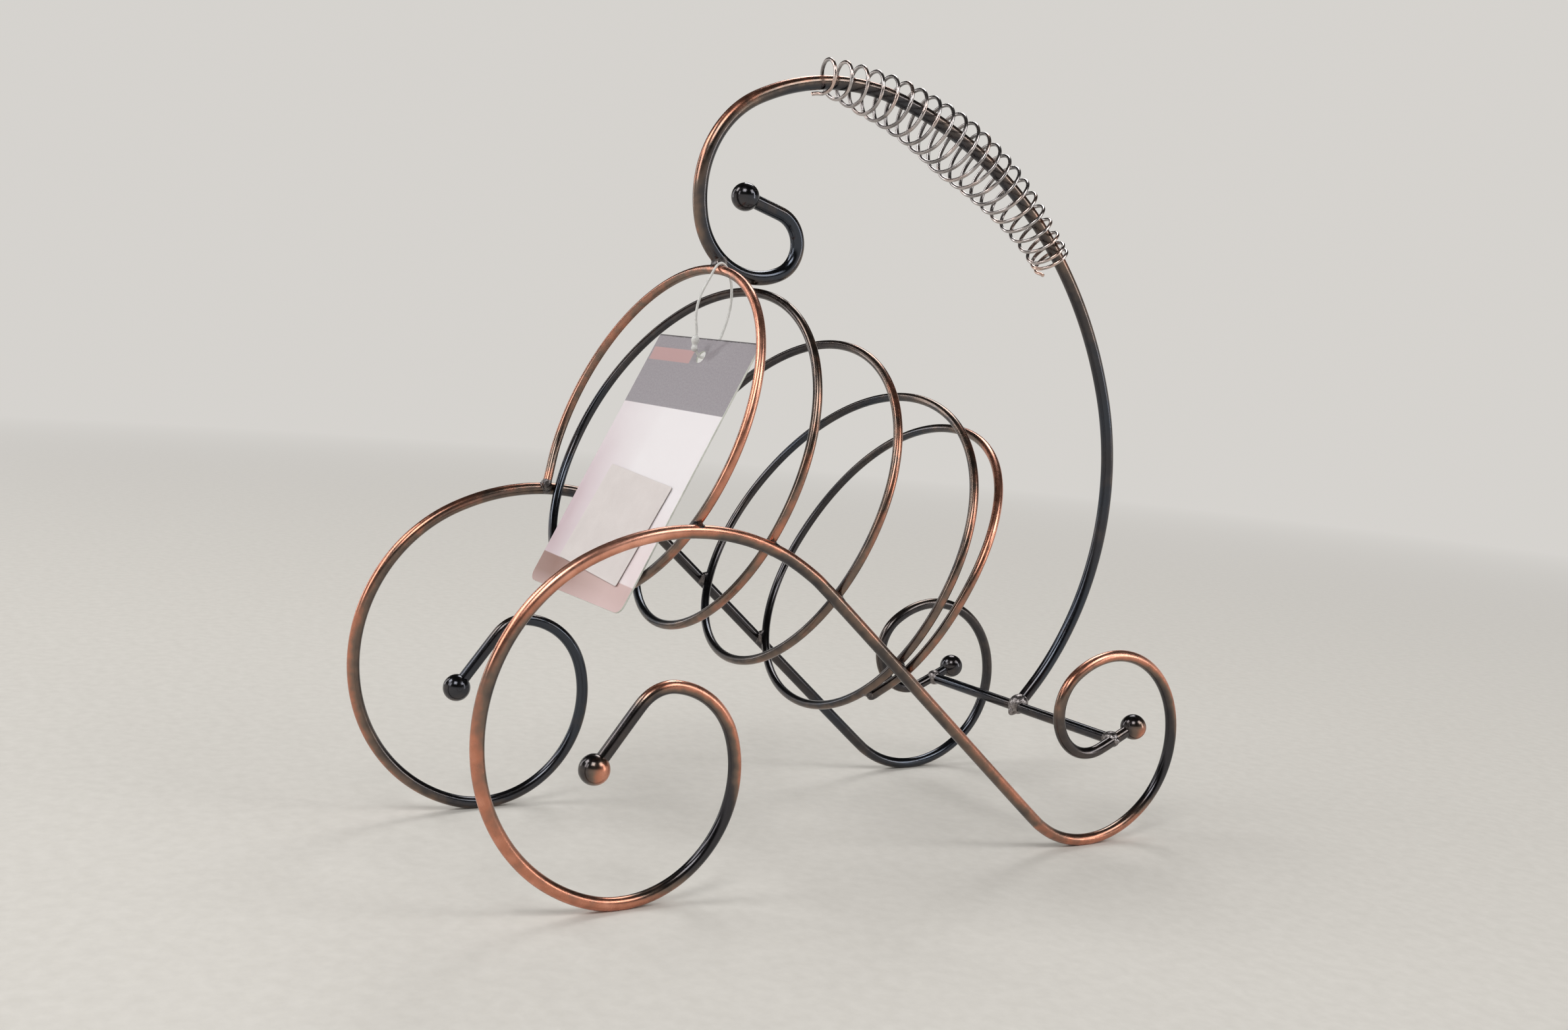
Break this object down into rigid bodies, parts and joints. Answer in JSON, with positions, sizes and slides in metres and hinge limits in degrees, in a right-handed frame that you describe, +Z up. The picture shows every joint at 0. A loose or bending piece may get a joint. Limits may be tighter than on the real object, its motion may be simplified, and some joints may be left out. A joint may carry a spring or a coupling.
{
  "type": "tabletop wine rack",
  "caption": "Tabletop rack that carries a wine bottle slanted in a wound wire basket between scrolled side frames, under a hooked handle with a spring grip.",
  "frame": {"origin": "on the table, under the middle between the side frames and midway between the front scrolls and the handle's rear", "axes": "+X to the rack's right side, +Y to the rear, where the scrolls are small and the handle rises, +Z up"},
  "size_m": [0.1195, 0.264, 0.2447],
  "materials": {
    "antique_copper": "antique copper plate, satin, brushed dark in the bends",
    "dark_copper": "dark gunmetal plate, glossy, copper brown on the outer sides",
    "dark_plate": "dark gunmetal plate, glossy",
    "spring_steel": "bright drawn wire with a faint copper tint",
    "weld_metal": "rough silvery bead",
    "tag_card": "smooth printed card, matt, with a grey band above and a rose band below",
    "sticker_paper": "smooth paper label, matt",
    "nylon": "translucent white nylon"
  },
  "bodies": {
    "rack": {"right_side_frame": "antique_copper", "left_side_frame": "dark_copper", "handle_wire": "dark_copper", "basket_wire": "dark_copper", "rear_cross_bar": "dark_plate", "grip_spring": "spring_steel", "right_front_ball": "dark_plate", "right_rear_ball": "dark_plate", "left_front_ball": "dark_plate", "left_rear_ball": "dark_plate", "handle_ball": "dark_plate", "right_bar_weld": "weld_metal", "left_bar_weld": "weld_metal", "handle_foot_weld": "weld_metal", "handle_top_weld": "weld_metal", "basket_start_weld": "weld_metal", "basket_end_weld": "weld_metal", "basket_weld_right_1": "weld_metal", "basket_weld_right_2": "weld_metal", "basket_weld_right_3": "weld_metal", "basket_weld_right_4": "weld_metal", "basket_weld_left_2": "weld_metal", "basket_weld_left_3": "weld_metal", "basket_weld_left_4": "weld_metal"},
    "tag": {"hang_tag": "tag_card", "tag_sticker": "sticker_paper", "tag_fastener": "nylon", "tag_fastener_lock": "nylon"}
  },
  "joints": [
    {"name": "tag_swing", "type": "hinge", "parent": "rack", "child": "tag", "pos_m": [0.00496, -0.04449, 0.17623], "axis": [-1, 0, 0], "range_deg": [0, 70]}
  ]
}
